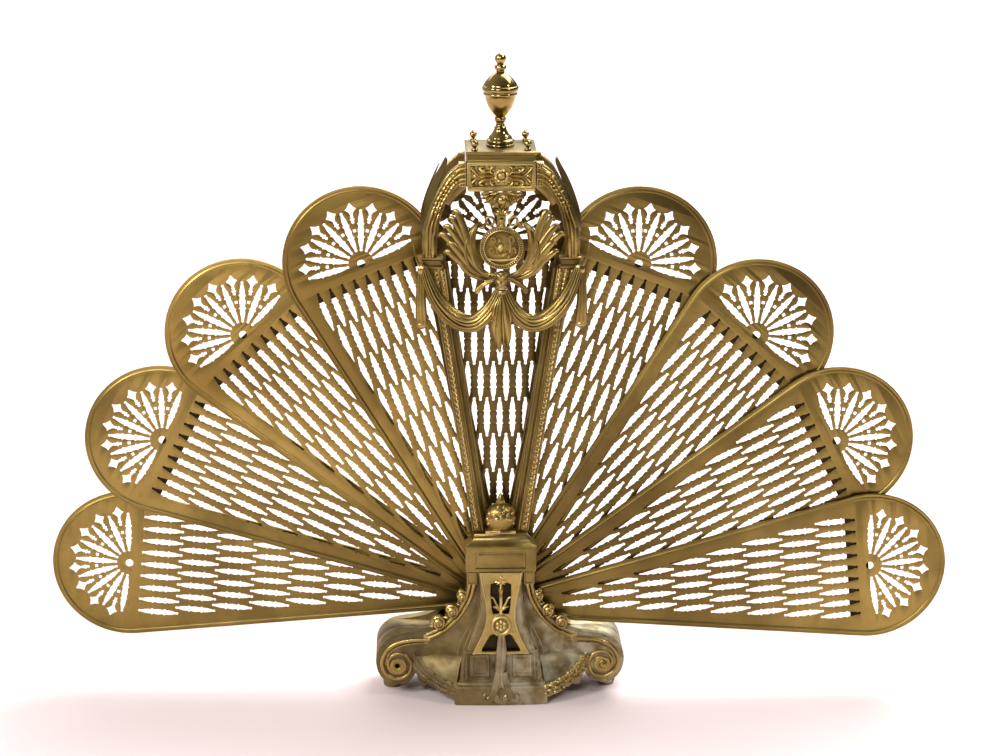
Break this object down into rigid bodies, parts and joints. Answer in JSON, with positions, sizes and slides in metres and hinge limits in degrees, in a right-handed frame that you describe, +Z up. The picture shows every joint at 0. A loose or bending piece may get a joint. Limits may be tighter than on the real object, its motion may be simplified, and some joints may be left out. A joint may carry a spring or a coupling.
{
  "type": "fireplace screen",
  "caption": "Folding fan fireplace screen: pierced brass leaves on one pivot bolt, opening behind an arched and garlanded frame with an urn finial on a cast scroll base.",
  "frame": {"origin": "on the floor under the middle of the object", "axes": "+X to the right across the open fan, -Y towards the room, +Z up"},
  "size_m": [0.9632, 0.126, 0.6915],
  "materials": {
    "leaf_brass": "aged satin sheet brass, pierced",
    "cast_brass": "aged cast brass, dark in the recesses",
    "base_brass": "dull grey-brown cast brass with brown tarnish",
    "polished_brass": "polished turned brass",
    "steel": "plain steel"
  },
  "bodies": {
    "frame": {"leaf_5": "leaf_brass", "stop_strap_5": "leaf_brass", "spacer_1": "steel", "spacer_2": "steel", "spacer_3": "steel", "spacer_4": "steel", "spacer_5": "steel", "spacer_6": "steel", "spacer_7": "steel", "spacer_8": "steel", "washer_rear": "steel", "washer_front": "steel", "pivot_bolt": "steel", "pivot_nut": "steel", "base_front": "base_brass", "base_rear": "base_brass", "foot_pad_left": "base_brass", "foot_pad_right": "base_brass", "tracery_panel": "cast_brass", "volute_screw_right": "cast_brass", "collar_front": "cast_brass", "collar_rear": "cast_brass", "collar_rosette": "cast_brass", "strut_front_right": "cast_brass", "strut_front_left": "cast_brass", "strut_rear_right": "cast_brass", "strut_rear_left": "cast_brass", "arch_front_right": "cast_brass", "arch_front_left": "cast_brass", "arch_rear_right": "cast_brass", "arch_rear_left": "cast_brass", "head_panel_front": "cast_brass", "head_panel_rear": "cast_brass", "head_cap": "cast_brass", "cartouche": "cast_brass", "garland": "cast_brass", "corner_finial_front_left": "polished_brass", "corner_finial_front_right": "polished_brass", "corner_finial_rear_left": "polished_brass", "corner_finial_rear_right": "polished_brass", "urn_finial": "polished_brass"},
    "fan_leaf_1": {"leaf_1": "leaf_brass"},
    "fan_leaf_2": {"leaf_2": "leaf_brass", "stop_strap_2": "leaf_brass"},
    "fan_leaf_3": {"leaf_3": "leaf_brass", "stop_strap_3": "leaf_brass"},
    "fan_leaf_4": {"leaf_4": "leaf_brass", "stop_strap_4": "leaf_brass"},
    "fan_leaf_6": {"leaf_6": "leaf_brass", "stop_strap_6": "leaf_brass"},
    "fan_leaf_7": {"leaf_7": "leaf_brass", "stop_strap_7": "leaf_brass"},
    "fan_leaf_8": {"leaf_8": "leaf_brass", "stop_strap_8": "leaf_brass"},
    "fan_leaf_9": {"leaf_9": "leaf_brass", "stop_strap_9": "leaf_brass"}
  },
  "joints": [
    {"name": "leaf_6_swing", "type": "hinge", "parent": "frame", "child": "fan_leaf_6", "pos_m": [0, -0.004, 0.097], "axis": [0, -1, 0], "range_deg": [0, 21]},
    {"name": "leaf_7_swing", "type": "hinge", "parent": "fan_leaf_6", "child": "fan_leaf_7", "pos_m": [0, -0.008, 0.097], "axis": [0, -1, 0], "range_deg": [0, 21]},
    {"name": "leaf_8_swing", "type": "hinge", "parent": "fan_leaf_7", "child": "fan_leaf_8", "pos_m": [0, -0.012, 0.097], "axis": [0, -1, 0], "range_deg": [0, 21]},
    {"name": "leaf_9_swing", "type": "hinge", "parent": "fan_leaf_8", "child": "fan_leaf_9", "pos_m": [0, -0.016, 0.097], "axis": [0, -1, 0], "range_deg": [0, 21]},
    {"name": "leaf_4_swing", "type": "hinge", "parent": "frame", "child": "fan_leaf_4", "pos_m": [0, 0.004, 0.097], "axis": [0, 1, 0], "range_deg": [0, 21]},
    {"name": "leaf_3_swing", "type": "hinge", "parent": "fan_leaf_4", "child": "fan_leaf_3", "pos_m": [0, 0.008, 0.097], "axis": [0, 1, 0], "range_deg": [0, 21]},
    {"name": "leaf_2_swing", "type": "hinge", "parent": "fan_leaf_3", "child": "fan_leaf_2", "pos_m": [0, 0.012, 0.097], "axis": [0, 1, 0], "range_deg": [0, 21]},
    {"name": "leaf_1_swing", "type": "hinge", "parent": "fan_leaf_2", "child": "fan_leaf_1", "pos_m": [0, 0.016, 0.097], "axis": [0, 1, 0], "range_deg": [0, 21]}
  ]
}
